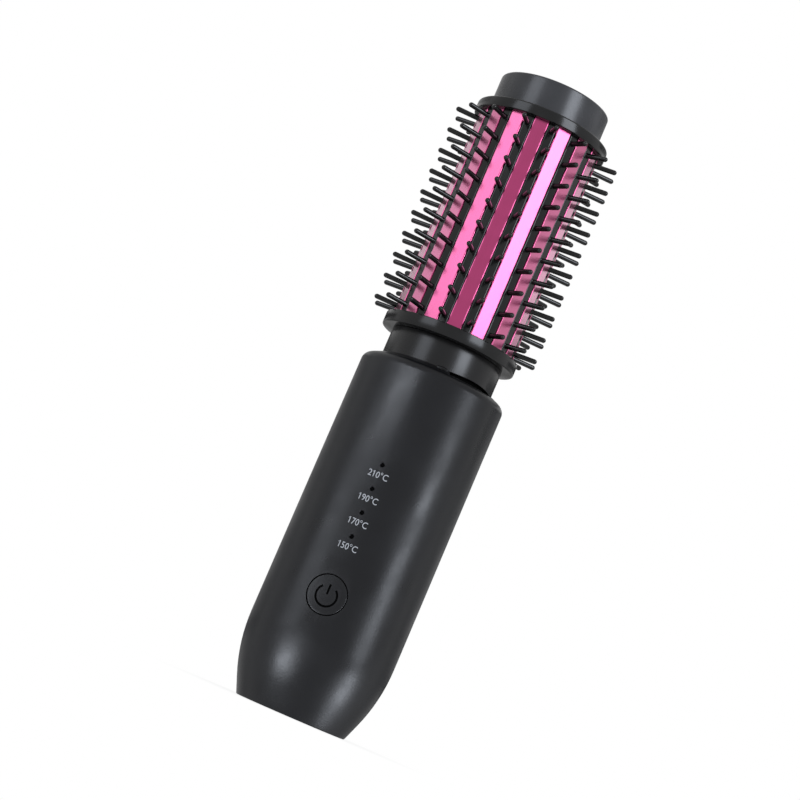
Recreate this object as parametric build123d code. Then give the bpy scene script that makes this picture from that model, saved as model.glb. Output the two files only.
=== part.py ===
# Cordless hot brush: a round battery handle with one power button and four temperature lamps,
# a short neck, and a heated barrel of sixteen coated faces with sixteen bristle strips between
# them, under a cool end cap. It stands upright on its base.
#
# Millimetres. The barrel axis is Z, the base stands on z = 0, and the button faces -Y.
# Every node is one real piece, written to parts/NAME.step.

import os
from math import atan2, cos, degrees, radians, sin, sqrt, tan

from build123d import *

os.makedirs("parts", exist_ok=True)

# Battery cells, which set the handle's radius, and their links
cell_r = 9.2
cell_len = 65.0
cell_gap = 0.4
cell_side_gap = 0.4
link_t = 0.3
link_w = 7.0

# Handle shell, from the base up
shell_wall = 2.0
taper_height = 22.3
taper_angle = 21.4
taper_arc_r = 48.0
shoulder_z = 99.3
shoulder_rise = 2.0
shoulder_round = 2.4
base_lip_h = 1.6
base_ledge = 2.6
base_edge = 0.4

# Gaps between pieces
seam_gap = 0.15
slip_gap = 0.05
seat_gap = 0.3

# Sides of round forms that nobody sees, and runs of short cones along arcs, for a light mesh
hidden_sides = 24
screw_sides = 8
taper_runs = 3
shoulder_runs = 2

# Neck and the slot at its foot
neck_r = 16.3
neck_wall = 2.0
neck_height = 7.8
neck_flange_gap = 0.6
neck_flange_h = 2.0
slot_start = 20.0
slot_end = 81.0
slot_depth = 0.75
slot_height = 1.3

# Flanges at the two ends of the barrel
flange_r = 19.6
lower_flange_h = 3.5
upper_flange_h = 3.0
flange_edge = 0.35
barrel_socket = 1.5
plug_h = 2.5

# Heated barrel
barrel_len = 62.7
plate_r = 17.9
barrel_bore_r = 14.0
groove_floor_r = 15.2
plate_count = 16
plate_edge = 0.22
first_strip_azimuth = -3.9

# Bristle strips
rail_w = 2.65
rail_top_r = 17.85
rail_edge = 0.3
foot_w = 4.1
foot_h = 0.9
pin_d = 1.45
pin_tip_r = 24.7
pin_tip_round = 0.4
pin_sides = 5
pin_pitch = 6.46
pin_first = 2.2
pin_last = 0.9

# End cap
cap_r = 16.2
cap_h = 9.35
cap_wall = 2.0
cap_edge = 0.5
cap_plug_h = 1.6

# Power button and the switch behind it
button_z = 33.1
button_r = 5.35
button_gap = 0.3
button_rim = 1.25
button_rim_t = 1.0
button_stem_r = 1.7
button_stem_len = 0.3
button_rim_gap = 0.4
switch_size = 6.0
plunger_out = 0.8
plunger_in = 0.7
plunger_gap = 0.08
button_travel = 0.4

# Temperature lamps, lowest first
lamp_z = 49.7
lamp_pitch = 6.87
lamp_count = 4
lamp_r = 0.55
lamp_sink = 0.15
lamp_bar_w = 2.8
lamp_bar_end = 2.6
chip_w = 1.6
chip_l = 1.2
chip_h = 0.8

# Frame inside the handle
frame_t = 1.2
shelf_z = 19.5
spine_side_gap = 1.4
spine_gap = 0.2
standoff_w = 4.0
standoff_h = 1.1
post_w = 5.0
post_gap = 0.1
leg_w = 3.0
leg_d = 2.4
shelf_notch_w = 16.0

# Boards, port and screws
board_t = 1.2
board_side_gap = 2.7
board_low = 7.0
board_len = 56.0
charge_board_w = 21.0
charge_board_z = 3.4
charge_board_gap = 0.6
coil_size = 4.0
coil_h = 2.0
coil_x = -6.5
charge_chip_size = 4.5
charge_chip_x = 5.5
chip_top_gap = 2.0
driver_size = 5.0
driver_x = 6.0
driver_up = 26.0
power_part_w = 3.5
power_part_h = 4.0
power_part_x = 6.25
power_part_down = 10.0
part_t = 1.0
port_w = 8.94
port_h = 3.26
port_len = 7.4
port_wall = 0.35
port_tongue_t = 0.7
port_tongue_w = 6.6
port_sink = 0.7
base_sink = 0.3
base_flange = 1.0
base_flange_h = 1.2
screw_r = 1.0
screw_head_r = 1.9
screw_head_h = 1.2
screw_len = 2.0
screw_inset = 2.6
neck_screw_r = 1.25
neck_screw_head_r = 2.3
neck_screw_head_h = 1.5
neck_screw_rim = 0.4

# Heater inside the barrel
spreader_gap = 0.15
spreader_len = 46.0
spreader_web = 2.4
spreader_rim = 2.0
ptc_t = 2.4
ptc_w = 9.0
ptc_in = 2.7
ptc_len = 42.0
sensor_r = 0.9
sensor_len = 5.0
sensor_x = 5.0
fuse_r = 1.3
fuse_len = 9.0
rod_r = 1.5
rod_gap = 0.3
rod_head_r = 2.8
rod_head_h = 2.0
nut_across = 5.5
nut_h = 2.4
lead_r = 0.7
lead_x = 6.0
lead_hole_r = 1.2
lead_bend = 4.0
lead_sides = 6

# Heights and radii that follow from the sizes above
cell_x = cell_r + cell_gap / 2
inner_r = cell_x + cell_r + cell_side_gap
handle_r = inner_r + shell_wall
neck_hole_r = neck_r + seam_gap
neck_foot_z = shoulder_z + shoulder_rise
lower_flange_z = neck_foot_z + neck_height
barrel_low = lower_flange_z + lower_flange_h
barrel_high = barrel_low + barrel_len
barrel_z0 = barrel_low - barrel_socket
barrel_z1 = barrel_high + barrel_socket
upper_flange_top = barrel_high + upper_flange_h
top_z = upper_flange_top + cap_h
strip_step = 360 / plate_count
pin_rows = int((barrel_len - pin_first - pin_last) / pin_pitch) + 1
socket_r = max(plate_r, rail_top_r) + seam_gap
bore_plug_r = barrel_bore_r - slip_gap
link_z = shelf_z + frame_t
cell_z0 = link_z + link_t
cell_z1 = cell_z0 + cell_len
top_shelf_z = cell_z1 + link_t + seat_gap
spine_back_y = -(cell_r + spine_gap)
spine_front_y = spine_back_y - frame_t
board_back_y = spine_front_y - standoff_h
board_front_y = board_back_y - board_t
board_z0 = shelf_z + board_low
board_z1 = board_z0 + board_len
spine_w = 2 * sqrt((inner_r - spine_side_gap) ** 2 - spine_front_y**2)
board_w = 2 * sqrt((inner_r - board_side_gap) ** 2 - board_front_y**2)
button_rim_r = button_r + button_rim
button_rim_y = button_rim_gap - sqrt(inner_r**2 - button_rim_r**2)
button_back_y = button_rim_y + button_rim_t
plunger_top_y = button_back_y + button_stem_len
switch_top_y = plunger_top_y + plunger_out
heater_mid_z = (barrel_low + barrel_high) / 2


shoulder_angle = degrees(atan2(shoulder_rise, handle_r - neck_hole_r))
ceiling_drop = shell_wall / cos(radians(shoulder_angle)) - shell_wall * tan(radians(shoulder_angle))
ceiling_z = shoulder_z - ceiling_drop
neck_base_z = ceiling_z - neck_flange_h
neck_flange_r = inner_r - neck_flange_gap
post_x = neck_r - neck_wall - post_w / 2 - post_gap
neck_web_r = post_x - neck_screw_head_r - neck_screw_rim
post_len = neck_base_z - top_shelf_z - frame_t
neck_screw_len = neck_flange_h + post_len / 2


def save(name, shape):
    """Write one node."""
    shape.label = name
    export_step(shape, f"parts/{name}.step")


def turned(sketch):
    """Solid of revolution about Z from a half section in the XZ plane."""
    return revolve(sketch, Axis.Z)


def half_section(*points):
    """Half section from straight lines between (radius, height) points."""
    return Plane.XZ * make_face(Polyline(*points, close=True))


def ring(r_out, r_in, z0, height):
    """Plain ring or, with no inner radius, a disc."""
    shape = Pos(0, 0, z0) * extrude(Circle(r_out), height)
    if r_in:
        shape -= Pos(0, 0, z0) * extrude(Circle(r_in), height)
    return shape


def pin_along_y(r, y0, y1, x=0, z=0):
    """Round pin along Y between two Y positions."""
    low, high = min(y0, y1), max(y0, y1)
    return Pos(x, low, z) * Rot(-90, 0, 0) * extrude(Circle(r), high - low)


def hidden_disc(r, z0, height, sides=hidden_sides):
    """Upright prism that stands for a hidden round form, with its corners at the radius."""
    return Pos(0, 0, z0) * extrude(RegularPolygon(r, sides), height)


def hidden_hole(r, z0, height, sides=hidden_sides):
    """Upright prism that cuts a hidden round hole, with its flats at the radius."""
    return Pos(0, 0, z0) * extrude(RegularPolygon(r, sides, major_radius=False), height)


def hidden_along_y(shape, y, x=0, z=0):
    """A prism that stands on z = 0 laid along +Y, from a place."""
    return Pos(x, y, z) * Rot(-90, 0, 0) * shape


def span(middle, size):
    """Low and high end of a size about its middle."""
    return middle - size / 2, middle + size / 2


def block(x, y, z):
    """Box from three (low, high) pairs."""
    size = (x[1] - x[0], y[1] - y[0], z[1] - z[0])
    middle = Pos((x[0] + x[1]) / 2, (y[0] + y[1]) / 2, (z[0] + z[1]) / 2)
    return middle * Box(*size)


def arc_points(centre, r, start, end, runs):
    """Points along an arc of the half section, between two angles in degrees."""
    turns = [radians(start + (end - start) * i / runs) for i in range(runs + 1)]
    return [(centre[0] + r * cos(turn), centre[1] + r * sin(turn)) for turn in turns]


def taper_points(inset, runs):
    """Points up the taper's arc, moved in by a wall, from the cone's end to the straight wall."""
    return arc_points((handle_r - taper_arc_r, taper_height), taper_arc_r - inset, -taper_angle, 0, runs)


def hollow_radius(z):
    """Radius of the shell's hollow at a height, straight between the ends of the taper's arc."""
    low, high = taper_points(shell_wall, 1)
    if z >= high[1]:
        return high[0]
    if z <= low[1]:
        return low[0] - (low[1] - z) * tan(radians(taper_angle))
    return low[0] + (high[0] - low[0]) * (z - low[1]) / (high[1] - low[1])


base_hole_r = hollow_radius(base_lip_h) - base_ledge


def shell_outside():
    """Solid of the handle's outside: cone foot, taper, straight wall, rounded shoulder."""
    taper = taper_points(0, taper_runs)
    foot_r = taper[0][0] - taper[0][1] * tan(radians(taper_angle))
    edge_r = foot_r + base_edge * tan(radians(taper_angle))
    turn = 90 - shoulder_angle
    round_z = shoulder_z - shoulder_round * tan(radians(turn / 2))
    shoulder = arc_points((handle_r - shoulder_round, round_z), shoulder_round, 0, turn, shoulder_runs)
    return turned(half_section(
        (0, 0),
        (foot_r - base_edge, 0),
        (edge_r, base_edge),
        *taper,
        *shoulder,
        (neck_hole_r, neck_foot_z),
        (0, neck_foot_z),
    ))


def hidden_cone(low, high):
    """Prism with sloping flats between two (radius, height) ends, for hidden hollows."""
    slope = degrees(atan2(high[0] - low[0], high[1] - low[1]))
    foot = RegularPolygon(low[0], hidden_sides, major_radius=False)
    return Pos(0, 0, low[1]) * extrude(foot, high[1] - low[1], taper=-slope)


def shell_hollow():
    """Solid of the handle's hollow, up to a ceiling parallel to the shoulder."""
    neck_z = ceiling_z + (inner_r - neck_hole_r) * tan(radians(shoulder_angle))
    low, high = taper_points(shell_wall, 1)
    hollow = hidden_cone((hollow_radius(base_lip_h), base_lip_h), low)
    hollow += hidden_cone(low, high)
    hollow += hidden_hole(inner_r, high[1], ceiling_z - high[1])
    return hollow + hidden_cone((inner_r, ceiling_z), (neck_hole_r, neck_z))


def neck_slot():
    """Wedge-shaped slot that opens at the foot of the neck, on the front right of the shoulder."""
    sector = slot_end - slot_start
    outer = neck_hole_r + slot_depth
    profile = half_section(
        (neck_r - slot_depth, neck_foot_z - slot_height),
        (outer, neck_foot_z - slot_height),
        (outer, neck_foot_z + slot_height),
        (neck_r - slot_depth, neck_foot_z + slot_height),
    )
    band = Rot(0, 0, -90 + slot_start) * revolve(profile, Axis.Z, sector)
    middle = radians((slot_start + slot_end) / 2)
    along = 2 * outer * sin(radians(sector / 2))
    tilt = degrees(atan2(slot_height, along))
    floor = Box(4 * outer, 4 * outer, 8 * slot_height, align=(Align.CENTER, Align.CENTER, Align.MAX))
    seat = Pos(outer * sin(middle), -outer * cos(middle), neck_foot_z - slot_height / 2)
    return band - seat * Rot(0, 0, degrees(middle)) * Rot(0, tilt, 0) * floor


def shell_halves():
    """Front and back halves of the handle, parted along the sides."""
    whole = shell_outside() - shell_hollow()
    whole -= ring(neck_hole_r, 0, ceiling_z - 1, shoulder_rise + ceiling_drop + 2)
    whole -= ring(base_hole_r, 0, -1, base_lip_h + 2)
    side = 2 * handle_r
    tall = neck_foot_z + 1
    front = whole & block((-side, side), (-side, 0), (-1, tall))
    back = whole & block((-side, side), (0, side), (-1, tall))
    front -= pin_along_y(button_r + button_gap, -side, -inner_r / 2, 0, button_z)
    for i in range(lamp_count):
        front -= pin_along_y(lamp_r + slip_gap, -side, -inner_r / 2, 0, lamp_z + i * lamp_pitch)
    return front - neck_slot(), back


def base_cap():
    """Disc in the base, held by its rim between the shell halves, with the port's opening."""
    plate = ring(base_hole_r - seam_gap, 0, base_sink, base_lip_h - base_sink)
    plate += hidden_disc(base_hole_r + base_flange, base_lip_h, base_flange_h)
    mouth = SlotOverall(port_w + 2 * port_wall, port_h + 2 * port_wall)
    return plate - Pos(0, 0, -1) * extrude(mouth, base_lip_h + base_flange_h + 2)


def charging_port():
    """Receptacle with a rounded metal shell, a closed back and a contact tongue."""
    z0 = base_sink + port_sink
    shell = extrude(SlotOverall(port_w, port_h), port_len)
    shell -= extrude(SlotOverall(port_w - 2 * port_wall, port_h - 2 * port_wall), port_len - 1)
    tongue = block((-port_tongue_w / 2, port_tongue_w / 2), (-port_tongue_t / 2, port_tongue_t / 2),
                   (1, port_len - 0.5))
    return Pos(0, 0, z0) * (shell + tongue)


def charge_board():
    """Charging board, upright behind the port."""
    y0 = port_h / 2
    z1 = shelf_z - charge_board_gap
    board = block((-charge_board_w / 2, charge_board_w / 2), (y0, y0 + board_t), (charge_board_z, z1))
    high = z1 - chip_top_gap
    coil = block(span(coil_x, coil_size), (y0 - coil_h, y0), (high - coil_size, high))
    chip = block(span(charge_chip_x, charge_chip_size), (y0 - part_t, y0), (high - charge_chip_size, high))
    return board + coil + chip


def battery_cell(side):
    """Round cell, upright in the frame."""
    return Pos(side * cell_x, 0, 0) * hidden_disc(cell_r, cell_z0, cell_len)


def cell_link():
    """Strip across the lower ends of both cells."""
    half = cell_x + link_w / 2
    return block((-half, half), (-link_w / 2, link_w / 2), (link_z, link_z + link_t))


def cell_tab(side):
    """Strip on one cell's upper end, turned forward towards the control board."""
    x0, x1 = sorted((side * (cell_x - link_w / 2), side * (cell_x + link_w / 2)))
    return block((x0, x1), (spine_back_y + spine_gap, link_w / 2), (cell_z1, cell_z1 + link_t))


def inner_frame():
    """Carrier for cells and boards: two shelves, a spine, standoffs, legs and neck posts."""
    low_disc = hidden_disc(hollow_radius(shelf_z) - seat_gap, shelf_z, frame_t)
    top_disc = hidden_disc(inner_r - seat_gap, top_shelf_z, frame_t)
    notch = shelf_notch_w / 2
    front = block((-notch, notch), (-2 * handle_r, spine_front_y), (shelf_z - 1, top_shelf_z + 2 * frame_t))
    low_disc -= front
    top_disc -= front
    spine = block((-spine_w / 2, spine_w / 2), (spine_front_y, spine_back_y),
                  (shelf_z, top_shelf_z + frame_t))
    frame = low_disc + top_disc + spine
    leg_y = port_h / 2 + board_t
    leg_x = charge_board_w / 2
    leg_z0 = base_lip_h + base_flange_h + seat_gap
    for side in (-1, 1):
        xs = sorted((side * (leg_x - leg_w), side * leg_x))
        frame += block(xs, (leg_y, leg_y + leg_d), (leg_z0, shelf_z))
    half = standoff_w / 2
    for x, z in board_corners():
        frame += block((x - half, x + half), (board_back_y, spine_front_y), (z - half, z + half))
        pilot = hidden_hole(screw_r + slip_gap, 0, spine_back_y - board_back_y + 1, screw_sides)
        frame -= hidden_along_y(pilot, board_back_y - 1, x, z)
    post_z0 = top_shelf_z + frame_t
    for side in (-1, 1):
        post = block((-post_w / 2, post_w / 2), (-post_w / 2, post_w / 2), (post_z0, neck_base_z))
        pilot = hidden_hole(neck_screw_r + slip_gap, neck_base_z - neck_screw_len, neck_screw_len + 1, screw_sides)
        frame += Pos(side * post_x, 0, 0) * post
        frame -= Pos(side * post_x, 0, 0) * pilot
    return frame


def board_corners():
    """Two screw places of the control board in opposite corners, as (x, z)."""
    x = board_w / 2 - screw_inset
    return [(-x, board_z0 + screw_inset), (x, board_z1 - screw_inset)]


def control_board():
    """Board with the switch, lamps and heater drive, screwed to the frame."""
    board = block((-board_w / 2, board_w / 2), (board_front_y, board_back_y), (board_z0, board_z1))
    for x, z in board_corners():
        hole = hidden_hole(screw_r + 2 * slip_gap, 0, board_t + 2, screw_sides)
        board -= hidden_along_y(hole, board_front_y - 1, x, z)
    y = (board_front_y - part_t, board_front_y)
    driver_z = board_z0 + driver_up
    board += block(span(driver_x, driver_size), y, (driver_z, driver_z + driver_size))
    part_z = board_z1 - power_part_down
    for side in (-1, 1):
        xs = span(side * power_part_x, power_part_w)
        board += block(xs, y, (part_z - power_part_h, part_z))
    return board


def board_screws():
    """Two hexagon head screws of the control board, as one set."""
    screws = []
    for x, z in board_corners():
        shank = hidden_disc(screw_r, 0, screw_head_h + screw_len, screw_sides)
        head = hidden_disc(screw_head_r, 0, screw_head_h, 6)
        screws.append(hidden_along_y(shank + head, board_front_y - screw_head_h, x, z))
    return Compound(children=screws)


def tact_switch():
    """Push switch body with the well that its plunger slides in."""
    half = switch_size / 2
    body = block((-half, half), (switch_top_y, board_front_y), (button_z - half, button_z + half))
    well = plunger_in + button_travel + seat_gap
    hole = hidden_hole(button_stem_r + plunger_gap, 0, well + 1, hidden_sides)
    return body - hidden_along_y(hole, switch_top_y - 1, 0, button_z)


def switch_plunger():
    """Plunger of the push switch, which the button's stem presses."""
    pin = hidden_disc(button_stem_r, 0, plunger_out + plunger_in)
    return hidden_along_y(pin, plunger_top_y, 0, button_z)


def power_button():
    """Round button flush with the shell, with a rim behind the wall and a short stem."""
    face = pin_along_y(button_r, -handle_r, button_rim_y, 0, button_z)
    face &= Pos(0, 0, button_z - handle_r) * extrude(Circle(handle_r), 2 * handle_r)
    rim = hidden_along_y(hidden_disc(button_rim_r, 0, button_rim_t), button_rim_y, 0, button_z)
    stem = hidden_disc(button_stem_r, 0, button_rim_t + button_stem_len)
    return face + rim + hidden_along_y(stem, button_rim_y, 0, button_z)


def light_guide():
    """Clear block between the lamp chips and the wall, with one round pin a hole."""
    outer_y = -(inner_r - seat_gap - 0.1)
    inner_y = board_front_y - chip_h - seat_gap
    last = lamp_z + (lamp_count - 1) * lamp_pitch
    half = lamp_bar_w / 2
    guide = block((-half, half), (outer_y, inner_y), (lamp_z - lamp_bar_end, last + lamp_bar_end))
    for i in range(lamp_count):
        length = handle_r - lamp_sink + outer_y
        pin = hidden_disc(lamp_r, 0, length, 2 * screw_sides)
        guide += hidden_along_y(pin, outer_y - length, 0, lamp_z + i * lamp_pitch)
    return guide


def lamp_chip(i):
    """Lamp chip on the control board behind one pin of the guide."""
    z = lamp_z + i * lamp_pitch
    y = (board_front_y - chip_h, board_front_y)
    return block((-chip_w / 2, chip_w / 2), y, (z - chip_l / 2, z + chip_l / 2))


def neck_collar():
    """Cool neck tube, held by its flange under the shoulder and screwed to the frame's posts."""
    flange_top = neck_base_z + neck_flange_h
    collar = ring(neck_r, 0, neck_base_z, lower_flange_z - neck_base_z)
    collar += hidden_disc(neck_flange_r, neck_base_z, neck_flange_h)
    collar -= hidden_hole(neck_r - neck_wall, flange_top, lower_flange_z)
    collar -= hidden_hole(neck_web_r, neck_base_z - 1, neck_flange_h + 2)
    for side in (-1, 1):
        hole = hidden_hole(neck_screw_r + 2 * slip_gap, neck_base_z - 1, neck_flange_h + 2, screw_sides)
        collar -= Pos(side * post_x, 0, 0) * hole
    return collar


def neck_screws():
    """Two screws that hold the neck to the frame's posts, as one set."""
    seat = neck_base_z + neck_flange_h
    screws = []
    for side in (-1, 1):
        shank = hidden_disc(neck_screw_r, seat - neck_screw_len, neck_screw_len, screw_sides)
        head = hidden_disc(neck_screw_head_r, seat, neck_screw_head_h, 6)
        screws.append(Pos(side * post_x, 0, 0) * (shank + head))
    return Compound(children=screws)


def barrel_socket_cut(z0):
    """Recess with the barrel's own number of sides, which holds one end of it."""
    cut = hidden_hole(socket_r, z0, barrel_socket, plate_count)
    return Rot(0, 0, first_strip_azimuth - 90 + strip_step / 2) * cut


def lower_flange():
    """Flange between neck and barrel, with a socket and a plug for the barrel and one for the neck."""
    z0 = lower_flange_z
    edge = flange_edge
    points = ((0, z0), (flange_r - edge, z0), (flange_r, z0 + edge), (flange_r, barrel_low), (0, barrel_low))
    flange = turned(half_section(*points)) - barrel_socket_cut(barrel_z0)
    flange += hidden_disc(bore_plug_r, barrel_z0, plug_h)
    flange += hidden_disc(neck_r - neck_wall - slip_gap, z0 - plug_h, plug_h)
    depth = barrel_z0 - z0 + 2 * plug_h
    flange -= hidden_hole(rod_r + slip_gap, z0 - plug_h - 1, depth + 2, screw_sides)
    for side in (-1, 1):
        hole = hidden_hole(lead_hole_r, z0 - plug_h - 1, depth + 2, screw_sides)
        flange -= Pos(side * lead_x, 0, 0) * hole
    return flange


def upper_flange():
    """Flange over the barrel's top, with a socket and plug for the barrel and a plug for the cap."""
    top = upper_flange_top
    edge = flange_edge
    points = ((0, barrel_high), (flange_r, barrel_high), (flange_r, top - edge), (flange_r - edge, top), (0, top))
    flange = turned(half_section(*points)) - barrel_socket_cut(barrel_high)
    flange += hidden_disc(bore_plug_r, barrel_z1 - plug_h, plug_h)
    flange += hidden_disc(cap_r - cap_wall - slip_gap, top, cap_plug_h)
    return flange - hidden_hole(rod_r + slip_gap, barrel_z1 - plug_h - 1, top_z, screw_sides)


def barrel():
    """Extruded tube with flat coated faces and a T-shaped groove between each two of them."""
    step = Rot(0, 0, first_strip_azimuth - 90)
    faces = RegularPolygon(plate_r, plate_count, major_radius=False)
    section = faces - RegularPolygon(barrel_bore_r, hidden_sides, major_radius=False)
    mouth_w = rail_w + 2 * slip_gap
    foot_top = groove_floor_r + foot_h + 2 * slip_gap
    foot_cut_w = foot_w + 2 * slip_gap
    mouth = Pos((groove_floor_r + flange_r) / 2, 0) * Rectangle(flange_r - groove_floor_r, mouth_w)
    edge_r = plate_r / cos(radians(strip_step / 2)) - mouth_w / 2 * tan(radians(strip_step / 2))
    flare_w = mouth_w / 2 + plate_edge + 1
    flare = make_face(Polyline(
        (edge_r - plate_edge, mouth_w / 2),
        (edge_r + 1, flare_w),
        (edge_r + 1, -flare_w),
        (edge_r - plate_edge, -mouth_w / 2),
        close=True,
    ))
    foot = Pos((groove_floor_r + foot_top) / 2, 0) * Rectangle(foot_top - groove_floor_r, foot_cut_w)
    for i in range(plate_count):
        section -= Rot(0, 0, i * strip_step) * (mouth + foot + flare)
    return Pos(0, 0, barrel_z0) * step * extrude(section, barrel_z1 - barrel_z0)


def bristle_pin():
    """One pin along +X, from inside the rail to its blunt tip."""
    root = rail_top_r - rail_edge
    profile = RegularPolygon(pin_d / 2, pin_sides, rotation=180 / pin_sides)
    shaft = Plane.YZ * extrude(profile, pin_tip_r - root)
    end = shaft.faces().sort_by(Axis.X)[-1]
    return Pos(root, 0, 0) * chamfer(end.edges(), pin_tip_round)


def bristle_strip():
    """Rail with a wide foot and one row of pins, for the groove on +X."""
    low = groove_floor_r + slip_gap
    foot_top = low + foot_h
    with BuildSketch() as outline:
        with Locations(((low + foot_top) / 2, 0)):
            Rectangle(foot_h, foot_w)
        with Locations(((low + rail_top_r) / 2, 0)):
            Rectangle(rail_top_r - low, rail_w)
        tops = outline.vertices().filter_by(lambda v: v.X > rail_top_r - slip_gap)
        chamfer(tops, rail_edge)
    rail = Pos(0, 0, barrel_z0) * extrude(outline.sketch, barrel_z1 - barrel_z0)
    pin = bristle_pin()
    pins = [Pos(0, 0, barrel_low + pin_first + i * pin_pitch) * pin for i in range(pin_rows)]
    return rail.fuse(*pins)


def end_cap():
    """Cool end cap, a plain round cup pressed over the upper flange's plug."""
    with BuildSketch(Plane.XZ) as outline:
        with BuildLine():
            Polyline(
                (0, upper_flange_top),
                (cap_r, upper_flange_top),
                (cap_r, top_z),
                (0, top_z),
                (0, upper_flange_top),
            )
        make_face()
        chamfer(outline.vertices().sort_by_distance((cap_r, top_z))[0], cap_edge)
    return turned(outline.sketch) - hidden_hole(cap_r - cap_wall, upper_flange_top, cap_h - cap_wall)


def tie_rod():
    """Long screw that pulls the two flanges onto the barrel."""
    seat = upper_flange_top + cap_plug_h
    low = lower_flange_z - plug_h - nut_h - 0.6
    shank = hidden_disc(rod_r, low, seat - low, screw_sides)
    return shank + hidden_disc(rod_head_r, seat, rod_head_h, screw_sides)


def tie_nut():
    """Nut under the lower flange."""
    z0 = lower_flange_z - plug_h - nut_h
    body = hidden_hole(nut_across / 2, z0, nut_h, 6)
    return body - hidden_hole(rod_r + slip_gap, z0, nut_h, screw_sides)


def heat_spreader(side):
    """Half-round extrusion that carries heat from the ceramic plates to the barrel's bore."""
    r = barrel_bore_r - spreader_gap
    flat = ptc_t / 2 + slip_gap
    high = Pos(0, flat) * Rectangle(2 * r, r, align=(Align.CENTER, Align.MIN))
    section = RegularPolygon(r, hidden_sides) & high
    pocket = RegularPolygon(r - spreader_rim, hidden_sides) & Pos(0, spreader_web) * high
    section = section - pocket - RegularPolygon(rod_r + rod_gap, screw_sides, major_radius=False)
    half = Pos(0, 0, heater_mid_z - spreader_len / 2) * extrude(section, spreader_len)
    return half if side > 0 else Rot(0, 0, 180) * half


def ptc_heater(side):
    """Ceramic heater plate between the two spreaders, at one side of the rod."""
    xs = sorted((side * ptc_in, side * (ptc_in + ptc_w)))
    z = heater_mid_z
    return block(xs, (-ptc_t / 2, ptc_t / 2), (z - ptc_len / 2, z + ptc_len / 2))


def heater_sensor():
    """Temperature sensor bead in the front spreader's hollow."""
    y = -(ptc_t / 2 + slip_gap + spreader_web + sensor_r)
    z0 = heater_mid_z + sensor_len
    return Pos(sensor_x, y, 0) * hidden_disc(sensor_r, z0, sensor_len, screw_sides)


def thermal_fuse():
    """Thermal fuse in the back spreader's hollow."""
    y = ptc_t / 2 + slip_gap + spreader_web + fuse_r
    return Pos(-sensor_x, y, 0) * hidden_disc(fuse_r, heater_mid_z - fuse_len, fuse_len, screw_sides)


def heater_lead(side):
    """Insulated wire from one ceramic plate through the neck to the control board's top edge."""
    x = side * lead_x
    board_y = (board_front_y + board_back_y) / 2
    top = heater_mid_z - ptc_len / 2
    bend_z = neck_base_z - lead_bend
    path = Polyline((x, 0, top), (x, 0, bend_z), (x, board_y, bend_z - lead_bend), (x, board_y, board_z1))
    section = Plane(origin=(x, 0, top), z_dir=(0, 0, -1)) * RegularPolygon(lead_r, lead_sides)
    return sweep(section, path, transition=Transition.RIGHT)


def main():
    front, back = shell_halves()
    save("front_shell", front)
    save("back_shell", back)
    save("base_cap", base_cap())
    save("charging_port", charging_port())
    save("charge_board", charge_board())
    for side, name in ((-1, "left"), (1, "right")):
        save(f"battery_cell_{name}", battery_cell(side))
        save(f"cell_tab_{name}", cell_tab(side))
        save(f"ptc_heater_{name}", ptc_heater(side))
        save(f"heater_lead_{name}", heater_lead(side))
    save("cell_link", cell_link())
    save("inner_frame", inner_frame())
    save("control_board", control_board())
    save("board_screws", board_screws())
    save("tact_switch", tact_switch())
    save("switch_plunger", switch_plunger())
    save("power_button", power_button())
    save("light_guide", light_guide())
    for i in range(lamp_count):
        save(f"lamp_chip_{i + 1}", lamp_chip(i))
    save("neck_collar", neck_collar())
    save("neck_screws", neck_screws())
    save("lower_flange", lower_flange())
    save("barrel", barrel())
    strip = bristle_strip()
    for i in range(plate_count):
        turn = first_strip_azimuth - 90 + i * strip_step
        save(f"bristle_strip_{i + 1:02d}", Rot(0, 0, turn) * strip)
    save("upper_flange", upper_flange())
    save("end_cap", end_cap())
    save("tie_rod", tie_rod())
    save("tie_nut", tie_nut())
    save("heat_spreader_front", heat_spreader(-1))
    save("heat_spreader_back", heat_spreader(1))
    save("heater_sensor", heater_sensor())
    save("thermal_fuse", thermal_fuse())


main()
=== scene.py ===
# %% [markdown]
# # Cordless hot brush for curling hair
#
# The object is a round battery handle with one power button and four temperature lamps, a short
# glossy neck, and a heated barrel of pink coated faces with black bristle strips between them.
# The imported CAD part is the fixed frame: every piece here sits where its CAD solid sits.
# We load it first and read measures from the boxes of its nodes.

# %% Load the frame
from math import atan2, cos, degrees, pi, radians, sin, sqrt, tan

import bmesh
import bpy
from mathutils import Matrix, Vector


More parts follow.
